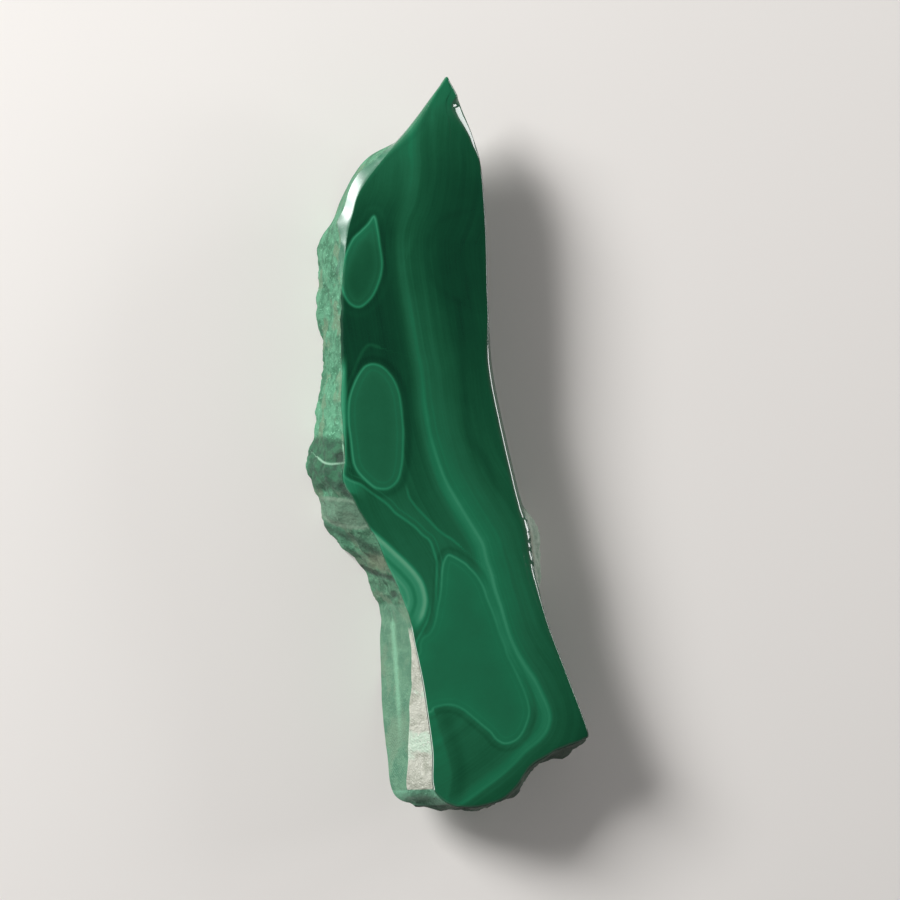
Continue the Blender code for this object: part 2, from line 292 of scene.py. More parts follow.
LINES = (
    Line(
        "oval_high",
        (
            (-12.1, 32.3), (-11.6, 30.3), (-11.3, 28.2), (-11.0, 26.0), (-11.1, 24.5), (-11.5, 23.0),
            (-12.2, 21.4), (-13.2, 20.2), (-14.2, 19.6), (-15.3, 19.9), (-16.1, 20.8), (-16.6, 22.1),
            (-16.8, 23.6), (-16.5, 25.7), (-15.9, 27.5), (-15.1, 29.1), (-14.1, 30.1), (-13.0, 31.2),
        ),
        closed=True,
        drift=0.10,
    ),
    Line(
        "oval_low",
        (
            (-12.2, 11.8), (-13.3, 11.5), (-14.1, 10.6), (-14.8, 9.3), (-15.4, 7.7), (-15.7, 6.1),
            (-15.7, 3.6), (-15.4, 1.3), (-15.1, -1.3), (-14.8, -2.4), (-14.2, -3.4), (-13.3, -4.3),
            (-12.2, -5.2), (-11.4, -5.5), (-10.3, -5.5), (-9.4, -5.0), (-8.7, -4.1), (-8.3, -2.6),
            (-8.1, -0.8), (-8.0, 2.2), (-8.1, 3.8), (-8.3, 5.9), (-8.6, 7.7), (-9.2, 9.3), (-10.0, 10.5),
            (-11.0, 11.4),
        ),
        closed=True,
        drift=-0.09,
    ),
    Line(
        "lobe",
        (
            (-1.4, -14.7), (0.5, -15.7), (1.5, -16.6), (2.5, -17.7), (3.4, -19.3), (3.9, -20.8),
            (4.6, -22.5), (5.2, -24.2), (5.6, -25.5), (6.3, -27.2), (6.9, -28.9), (7.8, -30.6),
            (8.6, -32.3), (9.3, -33.8), (9.8, -35.3), (10.0, -36.7), (9.7, -38.0), (9.1, -39.4),
            (8.3, -40.4), (7.3, -40.9), (6.3, -41.0), (5.2, -40.4), (4.4, -39.4), (3.2, -38.4),
            (2.0, -37.4), (0.8, -36.4), (-0.5, -35.7), (-1.5, -35.5), (-2.5, -35.6), (-3.6, -35.9),
            (-4.4, -36.5), (-7.5, -36.0), (-7.5, -29.0), (-5.7, -28.4), (-5.6, -27.1), (-5.2, -26.2),
            (-4.3, -25.6), (-3.7, -24.5), (-3.4, -23.4), (-3.2, -22.3), (-2.9, -20.8), (-2.7, -19.3),
            (-2.6, -17.7), (-2.4, -16.0), (-2.0, -15.0),
        ),
        closed=True,
        drift=0.08,
    ),
    Line(
        "flow",
        (
            (-4.8, 54.3), (-5.4, 48.3), (-6.0, 42.3), (-5.8, 39.6), (-6.1, 36.5), (-6.6, 34.1), (-7.5, 32.0),
            (-8.0, 30.0), (-8.1, 28.2), (-8.0, 26.0), (-7.7, 23.6), (-7.2, 20.5), (-6.6, 17.0), (-6.0, 13.5),
            (-5.5, 11.4), (-5.2, 9.0), (-5.0, 6.8), (-4.6, 4.4), (-4.2, 2.2), (-3.6, 0.1), (-2.8, -2.3),
            (-1.9, -4.5), (-0.7, -6.6), (0.6, -8.7), (1.6, -10.3), (2.5, -11.7), (3.4, -13.3), (3.9, -15.4),
            (4.6, -17.4), (5.1, -19.4), (5.9, -21.8), (6.6, -24.2), (7.4, -26.5), (8.5, -28.6), (9.6, -30.3),
            (10.8, -32.0), (11.8, -34.0), (12.7, -36.0), (13.0, -37.7), (12.5, -39.4), (11.3, -40.8),
            (9.6, -42.1), (7.9, -43.8), (5.9, -45.5), (3.5, -47.2), (0.7, -49.1), (-2.9, -50.9),
            (-8.0, -53.0),
        ),
    ),
    Line(
        "branch",
        (
            (-3.9, 46.0), (-3.7, 43.1), (-3.6, 40.3), (-3.7, 37.9), (-4.5, 35.2), (-5.2, 33.0), (-6.1, 31.2),
            (-6.8, 29.4), (-7.4, 27.5),
        ),
    ),
    Line(
        "strand_a",
        (
            (-16.5, -2.7), (-16.3, -3.7), (-15.3, -4.4), (-14.0, -4.9), (-12.7, -5.9), (-11.4, -6.8),
            (-10.1, -7.8), (-9.2, -8.8), (-7.9, -9.7), (-6.4, -10.8), (-5.3, -11.9), (-4.3, -12.7),
            (-3.7, -14.2), (-3.3, -15.6), (-3.3, -17.1), (-3.4, -19.3), (-3.4, -20.8), (-3.6, -23.2),
        ),
    ),
    Line(
        "strand_b",
        (
            (-7.8, -4.3), (-7.5, -5.6), (-7.2, -6.7), (-6.4, -7.8), (-5.5, -8.8), (-4.4, -9.9),
            (-3.3, -11.0), (-2.2, -11.9), (-1.3, -12.4), (-0.2, -13.3),
        ),
    ),
    Line(
        "swirl",
        (
            (-14.6, -9.4), (-12.4, -11.2), (-10.4, -12.9), (-8.9, -14.3), (-7.4, -15.7), (-6.2, -17.0),
            (-5.3, -18.3), (-4.8, -19.7), (-4.6, -21.2), (-4.9, -22.7), (-5.5, -24.1), (-6.4, -25.3),
        ),
    ),
    Line(
        "outer_low",
        (
            (-11.5, 14.1), (-12.9, 14.4), (-13.9, 13.2), (-14.7, 11.4), (-15.6, 9.3), (-16.4, 6.8),
            (-16.6, 5.3), (-16.6, 3.2), (-16.4, 1.3), (-16.1, -0.5), (-15.6, -2.3),
        ),
    ),
    Line(
        "low_line",
        (
            (-3.4, -37.0), (-2.9, -38.8), (-2.1, -41.1), (-1.5, -43.1), (-1.1, -45.2), (-1.3, -47.0),
            (-1.7, -49.1),
        ),
    ),
    Line(
        "ring",
        (
            (1.0, 33.2), (-1.7, 32.4), (-3.7, 30.6), (-4.5, 28.2), (-4.5, 25.7), (-3.6, 23.3), (-1.9, 21.4),
            (0.6, 20.2),
        ),
    ),
    Line(
        "seam",
        (
            (-0.2, 22.8), (0.1, 18.9), (0.4, 13.7), (0.7, 8.2), (1.2, 1.9), (3.0, -0.5), (4.2, -2.9),
            (5.1, -5.4), (6.2, -8.9),
        ),
    ),
    Line("nest", ((-6.5, -28.4), (-6.1, -26.7), (-5.3, -25.2), (-4.6, -23.8), (-4.2, -22.0), (-4.1, -19.9))),
)


# Marks on the broken left wall, drawn as they show from the photograph's viewpoint at the face's height
WALL_LINES = (
    Line(
        "block",
        (
            (-21.2, 0.9), (-18.8, 1.8), (-16.1, 0.9), (-15.1, -1.6), (-15.1, -4.3), (-16.4, -5.8),
            (-18.8, -5.8), (-21.2, -5.2),
        ),
        closed=True,
    ),
    Line("crack_across", ((-19.9, -1.3), (-19.1, -1.9), (-17.9, -2.1), (-16.4, -1.9), (-15.1, -2.2))),
    Line("crack_down", ((-16.5, 0.6), (-16.3, -1.3), (-16.4, -3.1), (-16.2, -4.6))),
    Line("pocket", ((-17.4, -0.7), (-16.4, -0.6), (-16.3, -1.9), (-17.3, -1.9)), closed=True),
    Line("gap", ((-17.0, -4.9), (-15.1, -4.8), (-13.9, -5.8), (-14.2, -7.2), (-16.4, -6.6)), closed=True),
    Line(
        "ledge_top",
        (
            (-20.0, -6.7), (-17.0, -6.7), (-14.2, -7.2), (-12.7, -8.9), (-13.0, -11.0), (-16.1, -11.0),
            (-18.2, -10.4), (-19.7, -9.2),
        ),
        closed=True,
    ),
    # The band under the ledge, where shade is painted
    Line(
        "under",
        ((-19.4, -10.3), (-18.2, -11.0), (-16.7, -11.8), (-14.8, -12.4), (-13.3, -13.3), (-11.5, -14.4)),
    ),
    Line(
        "rust",
        ((-12.7, -14.7), (-11.5, -14.4), (-10.4, -15.0), (-10.4, -16.5), (-11.8, -16.8), (-12.9, -16.2)),
        closed=True,
    ),
    Line(
        "crevice",
        ((-13.9, -16.2), (-12.8, -16.9), (-11.1, -17.5), (-9.3, -18.2), (-7.8, -19.7), (-7.2, -21.0)),
    ),
    Line("pit", ((-9.8, -20.2), (-9.3, -19.7), (-8.8, -20.2), (-9.3, -20.7)), closed=True),
    Line("saw_streak", ((-9.5, -24.1), (-9.0, -29.9), (-8.6, -36.0), (-8.3, -42.1), (-8.3, -46.1))),
)


# A rim row holds the face's x and y and the back's, then the wall's sizes, then its finishes
PLACES = 4
SIZES = 6


@dataclass
class Rim:
    """The slab's rim at equal steps of length, anticlockwise from the tip's left corner."""

    across: int
    along: int
    steps: int = 12
    rows: np.ndarray = field(init=False)
    outward: np.ndarray = field(init=False)
    travelled: np.ndarray = field(init=False)

    def __post_init__(self) -> None:
        """Samples the stations and works out the way out of the stone at each place."""
        stations = [*LEFT_SIDE, *BROKEN_END, *RIGHT_SIDE, *POINTED_END]
        edges = smooth_line(np.array([[*face, *back] for face, back, _ in stations]), True, self.steps)
        walls = np.array([work.value.numbers() for _, _, work in stations])
        blend = smooth_step(0.0, 1.0, np.arange(self.steps) / self.steps)[None, :, None]
        ahead = np.roll(walls, -1, axis=0)[:, None, :]
        walls = (walls[:, None, :] + (ahead - walls[:, None, :]) * blend).reshape(-1, walls.shape[1])
        fine = np.hstack([edges, walls])
        corners = [0, len(LEFT_SIDE) - 1, len(LEFT_SIDE) + len(BROKEN_END), len(stations) - 2, len(stations)]
        cells = (self.along, self.across, self.along, self.across)
        parts = []
        for first, last, count in zip(corners, corners[1:], cells):
            run = fine[np.arange(first * self.steps, last * self.steps + 1) % len(fine)]
            parts.append(self.spread(run, count))
        self.rows = np.vstack(parts)
        tangent = np.roll(self.rows[:, :2], -1, axis=0) - np.roll(self.rows[:, :2], 1, axis=0)
        tangent /= np.hypot(tangent[:, 0], tangent[:, 1])[:, None]
        self.outward = np.stack([tangent[:, 1], -tangent[:, 0]], axis=1)
        gaps = np.hypot(*(np.diff(self.rows[:, :2], axis=0).T))
        self.travelled = np.concatenate([[0.0], np.cumsum(gaps)])

    @staticmethod
    def spread(run: np.ndarray, count: int) -> np.ndarray:
        """Rows at equal steps of the face's and the back's length together.

        Args:
            run: Finely sampled rows from one corner to the next.
            count: How many rows are wanted, the next corner's own left out.

        Returns:
            The wanted rows.
        """
        face, back = np.diff(run[:, :2], axis=0), np.diff(run[:, 2:4], axis=0)
        steps = np.hypot(face[:, 0], face[:, 1]) + np.hypot(back[:, 0], back[:, 1])
        done = np.concatenate([[0.0], np.cumsum(steps)])
        wanted = done[-1] * np.arange(count) / count
        return np.stack([np.interp(wanted, done, column) for column in run.T], axis=1)

    def sizes(self) -> np.ndarray:
        """The wall's sizes at each place, one column after another."""
        return self.rows[:, PLACES : PLACES + SIZES].T[:, :, None]

    def finishes(self) -> tuple[np.ndarray, np.ndarray]:
        """The shares of each finish above and below the shoulder."""
        above, below = np.split(self.rows[:, PLACES + SIZES :], 2, axis=1)
        return above, below


@dataclass
class Slab:
    """The stone: a blank of plain cells, drawn out to the polished face, the rim and the sawn back."""

    thickness: float = 12.0
    face_dome: float = 0.35
    back_chamfer: float = 0.4
    cells_across: int = 76
    cells_along: int = 380
    edge_share: float = 0.6
    shoulder_share: float = 0.75
    edge_rows: int = 9
    shoulder_rows: int = 12
    wall_rows: int = 20
    end_fade: float = 24.0
    lump_size: float = 4.2
    small_lump_size: float = 1.7
    small_lump_share: float = 0.4
    relief_fade: float = 2.5
    relief_at_face: float = 0.15
    grain_size: float = 0.7
    grain_height: float = 0.16
    pattern_shift: tuple[float, float] = (1.8, -1.2)
    pattern_warp: float = 2.4
    pattern_warp_size: float = 14.0
    sharp_angle: float = math.radians(34)
    weld_gap: float = 0.0002
    finish_start: float = 0.3
    finish_full: float = 0.9
    corner_line: float = -47.2
    corner_soft: float = 0.4
    # Below the rim line the lower-left corner is painted dark, as shade along the bottom edge.
    rim_line: float = -49.4
    rim_soft: float = 0.3
    corner_right: float = -1.5
    corner_right_soft: float = 1.5

    def build(self) -> bpy.types.Object:
        """Models the stone.

        Returns:
            The slab, with its markings and finishes as attributes of its points.
        """
        slab = self.blank()
        self.draw_out(slab.data)
        bpy.ops.object.shade_smooth_by_angle(angle=self.sharp_angle)
        return slab

    def blank(self) -> bpy.types.Object:
        """A closed block of cells: a grid, its rim extruded down row by row, and a second grid below.

        Returns:
            The block, whose points count the cells: x and y on the grid, and one unit down for each row.
        """
        levels = self.edge_rows + self.shoulder_rows + self.wall_rows + 1
        cells = {"x_subdivisions": self.cells_across, "y_subdivisions": self.cells_along, "size": 1.0}
        bpy.ops.object.select_all(action="DESELECT")
        bpy.ops.mesh.primitive_grid_add(**cells)
        slab = bpy.context.active_object
        slab.name = slab.data.name = "malachite_slab_stone"
        bpy.ops.object.mode_set(mode="EDIT")
        bpy.ops.mesh.select_mode(type="EDGE")
        bpy.ops.mesh.select_all(action="DESELECT")
        bpy.ops.mesh.select_non_manifold()
        for _ in range(levels):
            bpy.ops.mesh.extrude_region_move(TRANSFORM_OT_translate={"value": (0.0, 0.0, -1.0)})
        bpy.ops.mesh.primitive_grid_add(**cells, location=(0.0, 0.0, -levels))
        bpy.ops.mesh.select_all(action="SELECT")
        bpy.ops.mesh.remove_doubles(threshold=self.weld_gap)
        bpy.ops.mesh.normals_make_consistent(inside=False)
        bpy.ops.object.mode_set(mode="OBJECT")
        return slab

    def draw_out(self, mesh: bpy.types.Mesh) -> None:
        """Moves the blank's points to the stone's surface and writes what the material reads.

        Args:
            mesh: The blank's mesh.
        """
        count = len(mesh.vertices)
        flat = np.empty(count * 3, np.float32)
        mesh.vertices.foreach_get("co", flat)
        places = flat.reshape(-1, 3)
        across = np.rint((places[:, 0] + 0.5) * self.cells_across).astype(int)
        along = np.rint((0.5 - places[:, 1]) * self.cells_along).astype(int)
        level = np.rint(-places[:, 2]).astype(int)
        rim = Rim(self.cells_across, self.cells_along)
        rings = self.profile(rim)
        column = self.ring_column(across, along)
        on_rim = column >= 0
        points = np.zeros((count, 3))
        points[on_rim] = rings[level[on_rim], column[on_rim]]
        for ring_level, dome in ((0, self.face_dome), (len(rings) - 1, 0.0)):
            chosen = (level == ring_level) & ~on_rim
            points[chosen] = self.patch(rings[ring_level], across[chosen], along[chosen], dome)
        low, high = (np.array(corner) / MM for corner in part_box(NODE))
        points = np.clip(points, low, high)
        mesh.vertices.foreach_set("co", (points * MM).astype(np.float32).ravel())
        mesh.update()
        seen = self.seen_places(points)
        self.write_finishes(mesh, rim, level, column, seen)
        self.write_markings(mesh, points)
        for line in WALL_LINES:
            put(mesh, line.name, line.measure(seen))

    def ring_column(self, across: np.ndarray, along: np.ndarray) -> np.ndarray:
        """The rim's column of each cell on the grid's border, and -1 inside it."""
        wide, long = self.cells_across, self.cells_along
        column = np.full(len(across), -1)
        column = np.where(along == 0, (2 * wide + 2 * long - across) % (2 * wide + 2 * long), column)
        column = np.where(across == wide, 2 * long + wide - along, column)
        column = np.where(along == long, long + across, column)
        return np.where(across == 0, along, column)

    def profile(self, rim: Rim) -> np.ndarray:
        """Rings of points down the wall.

        Args:
            rim: The sampled rim.

        Returns:
            Points in millimetres by ring and by column, from where the face starts to turn down to the
            edge of the sawn back.
        """
        count = len(rim.rows)
        face, back = rim.rows[:, :2], rim.rows[:, 2:4]
        edge_in, edge_down, share, shoulder_down, relief, flat = rim.sizes()
        run = back - face
        low = sum(rise.at(back[:, 1:]) for rise in RISES)
        edge_down = np.minimum(edge_down, self.edge_share * (self.thickness - low))
        shoulder_down = np.minimum(shoulder_down, self.shoulder_share * (self.thickness - low))
        drop = np.ones((count, 1))

        def at(place: np.ndarray, depth: np.ndarray | float) -> np.ndarray:
            """Points at a depth below the face."""
            return np.hstack([place, self.thickness - drop * depth])

        start = at(face - rim.outward * edge_in, 0.0)
        turned = at(face + run * share / shoulder_down * edge_down, edge_down)
        corner = at(face, 0.0) * (1 - flat) + (start + turned) / 2 * flat
        shoulder = at(face + run * share, shoulder_down)
        foot = at(back, self.thickness - low - self.back_chamfer)
        rings = []
        for row in range(self.edge_rows):
            step = row / self.edge_rows
            rings.append((1 - step) ** 2 * start + 2 * step * (1 - step) * corner + step**2 * turned)
        for row in range(self.shoulder_rows):
            rings.append(turned + (shoulder - turned) * row / self.shoulder_rows)
        for row in range(self.wall_rows + 1):
            rings.append(shoulder + (foot - shoulder) * row / self.wall_rows)
        rings = [self.roughen(ring, rim.outward, relief) for ring in rings]
        last = rings[-1].copy()
        last[:, :2] -= rim.outward * self.back_chamfer
        last[:, 2] = low[:, 0]
        return np.array([*rings, last])

    def roughen(self, ring: np.ndarray, outward: np.ndarray, relief: np.ndarray) -> np.ndarray:
        """The ring moved in and out by the broken stone's lumps and grain, which fade out at the face.

        Args:
            ring: Points in millimetres.
            outward: The way out of the stone at each point.
            relief: The height of the lumps at each point.

        Returns:
            The moved points.
        """
        lumps = np.empty(len(ring))
        grain = np.empty(len(ring))
        for index, point in enumerate(ring):
            place = Vector(point)
            lumps[index] = noise.fractal(place / self.lump_size, 1.0, 2.0, 2)
            lumps[index] += self.small_lump_share * noise.noise(place / self.small_lump_size)
            grain[index] = noise.fractal(place / self.grain_size, 1.0, 2.0, 3)
        fade = np.minimum(1.0, self.relief_at_face + (self.thickness - ring[:, 2]) / self.relief_fade)
        rough = smooth_step(0.1, 0.5, relief[:, 0])
        move = relief[:, 0] * fade * lumps + self.grain_height * rough * np.minimum(1.0, fade * 1.5) * grain
        moved = ring.copy()
        moved[:, :2] += outward * move[:, None]
        return moved

    def patch(self, ring: np.ndarray, across: np.ndarray, along: np.ndarray, dome: float) -> np.ndarray:
        """Points of the face or the back: its four sides blended across the grid.

        Args:
            ring: The points round it.
            across: Cells from the left side.
            along: Cells from the tip.
            dome: How far its middle rises.

        Returns:
            The points, in millimetres.
        """
        wide, long = self.cells_across, self.cells_along
        s, t = (across / wide)[:, None], (along / long)[:, None]
        left, right = ring[along], ring[2 * long + wide - along]
        low, high = ring[long + across], ring[-across]
        top = ring[0] * (1 - s) + ring[-wide] * s
        bottom = ring[long] * (1 - s) + ring[long + wide] * s
        upper, lower = np.repeat(1 - t, 3, axis=1), np.repeat(t, 3, axis=1)
        upper[:, 2] **= self.end_fade
        lower[:, 2] **= self.end_fade
        points = left * (1 - s) + right * s + (high - top) * upper + (low - bottom) * lower
        points[:, 2] += dome * ((1 - (2 * s - 1) ** 2) ** 1.5 * (1 - (2 * t - 1) ** 6))[:, 0]
        return points

    def seen_places(self, points: np.ndarray) -> np.ndarray:
        """Where each point shows at the face's height from the photograph's viewpoint.

        Args:
            points: Points in millimetres.

        Returns:
            Rows of x and y in millimetres.
        """
        eye = np.array(VIEWPOINT)
        reach = (eye[2] - self.thickness) / (eye[2] - points[:, 2:])
        return eye[:2] + (points[:, :2] - eye[:2]) * reach

    def write_finishes(
        self, mesh: bpy.types.Mesh, rim: Rim, level: np.ndarray, column: np.ndarray, seen: np.ndarray
    ) -> None:
        """Writes how far each finish covers each point, and the places along and down the wall.

        Args:
            mesh: The stone's mesh.
            rim: The sampled rim.
            level: Each point's ring.
            column: Each point's place on the rim, or -1 inside the face and the back.
            seen: Each point's place from the viewpoint.
        """
        rows = self.edge_rows
        over_edge = smooth_step(self.finish_start * rows, self.finish_full * rows, level.astype(float))
        above_corner = soft_above(self.corner_line, self.corner_soft, seen[:, 1])
        above_rim = soft_above(self.rim_line, self.rim_soft, seen[:, 1])
        left = 1 - soft_above(self.corner_right, self.corner_right_soft, seen[:, 0])
        on_wall = (column >= 0) & (level > 0)
        upper = level <= self.edge_rows + self.shoulder_rows
        last = self.edge_rows + self.shoulder_rows + self.wall_rows + 1
        above, below = rim.finishes()
        for kind in Finish:
            if kind is Finish.POLISH:
                continue
            share = np.where(upper, above[column, kind.value], below[column, kind.value]) * over_edge
            if kind in (Finish.BEVEL, Finish.SAWN):
                share = share * above_corner
            # Below the rim line the lower-left corner takes the broken end's dark colours: painted shade
            # along the bottom edge.
            if kind is Finish.BROKEN:
                share = np.maximum(share, (1 - above_corner) * left * (1 - above_rim))
            put(mesh, kind.name.lower(), np.where(on_wall, share, 0.0))
        put(mesh, "corner", np.where(on_wall, (1 - above_corner) * left * over_edge * above_rim, 0.0))
        put(mesh, "wall", np.where(on_wall, over_edge, 0.0))
        put(mesh, "back", (level == last).astype(float))
        put(mesh, "along", np.where(column >= 0, rim.travelled[column], 0.0))

    def write_markings(self, mesh: bpy.types.Mesh, points: np.ndarray) -> None:
        """Writes each point's place beside each marking line.

        Args:
            mesh: The stone's mesh.
            points: Its points in millimetres.
        """
        deep = np.clip(1 - points[:, 2] / self.thickness, 0.0, 1.0)
        warp = np.array([noise.noise_vector(Vector(point) / self.pattern_warp_size)[:2] for point in points])
        places = points[:, :2] + deep[:, None] * (np.array(self.pattern_shift) + self.pattern_warp * warp)
        for line in LINES:
            rows = line.measure(places)
            rows[:, 0] += line.drift * deep * self.thickness
            put(mesh, line.name, rows)


def put(mesh: bpy.types.Mesh, name: str, values: np.ndarray) -> None:
    """Writes one number or three for each point of a mesh under a name."""
    wide = values.ndim == 2
    layer = mesh.attributes.new(name, "FLOAT_VECTOR" if wide else "FLOAT", "POINT")
    layer.data.foreach_set("vector" if wide else "value", values.astype(np.float32).ravel())


class Wire:
    """A number or a colour that flows through a material's nodes."""

    def __init__(self, graph: "Graph", socket: bpy.types.NodeSocket) -> None:
        """Wraps an output socket of a graph."""
        self.graph = graph
        self.socket = socket

    def math(self, operation: str, *others: "Wire | float", first: bool = True) -> "Wire":
        """Adds a Math node.

        Args:
            operation: The node's operation.
            others: Its other values.
            first: Whether this wire is the first value, or the last.

        Returns:
            The result.
        """
        values = (self, *others) if first else (*others, self)
        return self.graph.node("Math", {"operation": operation}, dict(enumerate(values)))

    def __add__(self, other: "Wire | float") -> "Wire":
        """Sum."""
        return self.math("ADD", other)

    def __sub__(self, other: "Wire | float") -> "Wire":
        """Difference."""
        return self.math("SUBTRACT", other)

    def __rsub__(self, other: "Wire | float") -> "Wire":
        """Difference from a number."""
        return self.math("SUBTRACT", other, first=False)

    def __mul__(self, other: "Wire | float") -> "Wire":
        """Product."""
        return self.math("MULTIPLY", other)

    def __abs__(self) -> "Wire":
        """Size without sign."""
        return self.math("ABSOLUTE")

    def towards(self, other: "Wire | float", share: "Wire | float") -> "Wire":
        """Goes from this value to another by a share."""
        return self + (other - self) * share

    def rise(self, low: float, high: float) -> "Wire":
        """A soft step from 0 at low to 1 at high."""
        sockets = {"Value": self, "From Min": low, "From Max": high}
        return self.graph.node("MapRange", {"interpolation_type": "SMOOTHSTEP"}, sockets)

    def fall(self, low: float, high: float) -> "Wire":
        """A soft step from 1 at low to 0 at high."""
        sockets = {"Value": self, "From Min": low, "From Max": high, "To Min": 1.0, "To Max": 0.0}
        return self.graph.node("MapRange", {"interpolation_type": "SMOOTHSTEP"}, sockets)

    def peak(self, width: float, centre: float = 0.0) -> "Wire":
        """A soft ridge, 1 at its centre and 0 beyond its half width."""
        return abs(self - centre).fall(0.0, width)

    def between(self, low: float, high: float, soft: float) -> "Wire":
        """1 between two values, with soft ends."""
        return self.rise(low - soft, low + soft) * self.fall(high - soft, high + soft)

    def curve(self, stops: tuple[tuple[float, float], ...]) -> "Wire":
        """A value read from straight runs between stops of place and height, heights being 0 to 1."""
        low, high = stops[0][0], stops[-1][0]
        share = self.graph.node(
            "MapRange", {"interpolation_type": "LINEAR"}, {"Value": self, "From Min": low, "From Max": high}
        )
        grey = tuple(((place - low) / (high - low), (level, level, level)) for place, level in stops)
        return self.graph.node("ValToRGB", {"stops": grey}, {"Fac": share})


class Graph:
    """A material's node tree, to which nodes are added through one method."""

    def __init__(self, tree: bpy.types.NodeTree) -> None:
        """Wraps an emptied node tree."""
        self.tree = tree
        tree.nodes.clear()

    def node(self, kind: str, settings: dict, sockets: dict, output: int | str = 0) -> Wire:
        """Adds a node, sets it up and links it.

        Args:
            kind: The node's type without its ShaderNode prefix.
            settings: Its properties, and a ramp's stops as places and colours.
            sockets: Values or wires by socket name or number.
            output: The wanted output.

        Returns:
            The wanted output as a wire.
        """
        made = self.tree.nodes.new("ShaderNode" + kind)
        for name, value in settings.items():
            if name == "stops":
                self.set_stops(made.color_ramp, value)
            else:
                setattr(made, name, value)
        for name, value in sockets.items():
            if isinstance(value, Wire):
                self.tree.links.new(value.socket, made.inputs[name])
            else:
                made.inputs[name].default_value = value
        return Wire(self, made.outputs[output])

    @staticmethod
    def set_stops(ramp: bpy.types.ColorRamp, stops: tuple) -> None:
        """Puts a ramp's stops in place, with straight runs between them."""
        while len(ramp.elements) < len(stops):
            ramp.elements.new(0.5)
        for element, (place, colour) in zip(ramp.elements, stops):
            element.position = place
            element.color = (*colour, 1.0)

    def attribute(self, name: str) -> Wire:
        """A number written on the mesh's points."""
        return self.node("Attribute", {"attribute_name": name}, {}, "Fac")

    def line(self, name: str) -> tuple[Wire, Wire, Wire]:
        """The distance from a marking line, the length along it and the length left."""
        rows = self.node("Attribute", {"attribute_name": name}, {}, "Vector")
        split = [self.node("SeparateXYZ", {}, {0: rows}, part) for part in range(3)]
        return split[0], split[1], split[2]

    def mix(self, factor: Wire | float, first: Wire | tuple, second: Wire | tuple) -> Wire:
        """A colour between two."""
        return self.node("Mix", {"data_type": "RGBA"}, {0: factor, 6: first, 7: second}, 2)

    def noise(self, vector: Wire, scale: float, detail: float = 2.0, roughness: float = 0.5) -> Wire:
        """Soft noise from 0 to 1."""
        sockets = {"Vector": vector, "Scale": scale, "Detail": detail, "Roughness": roughness}
        return self.node("TexNoise", {}, sockets)

    def combine(self, x: Wire | float, y: Wire | float, z: Wire | float) -> Wire:
        """A place put together from three numbers."""
        return self.node("CombineXYZ", {}, {0: x, 1: y, 2: z})


def linear(red: int, green: int, blue: int, gain: float = 1.0) -> tuple[float, float, float, float]:
    """A screen colour, 0 to 255, as the light-linear colour that a shader takes."""
    parts = []
    for value in (red, green, blue):
        share = value / 255
        parts.append(gain * (share / 12.92 if share <= 0.04045 else ((share + 0.055) / 1.055) ** 2.4))
    return (*parts, 1.0)


@dataclass(frozen=True)
class Greens:
    """The stone's own colours from its deepest green to its palest, by tone."""

    gain: float = 1.04
    stops: tuple = (
        (0.17, (8, 43, 28)),
        (0.22, (12, 56, 37)),
        (0.26, (15, 66, 43)),
        (0.31, (22, 80, 53)),
        (0.36, (29, 93, 64)),
        (0.41, (29, 106, 73)),
        (0.46, (38, 118, 84)),
        (0.52, (54, 133, 99)),
        (0.60, (88, 153, 120)),
        (0.75, (122, 190, 154)),
    )

    def colour(self, graph: Graph, tone: Wire) -> Wire:
        """The green of a tone."""
        stops = tuple((place, linear(*shade, gain=self.gain)[:3]) for place, shade in self.stops)
        return graph.node("ValToRGB", {"stops": stops}, {"Fac": tone})


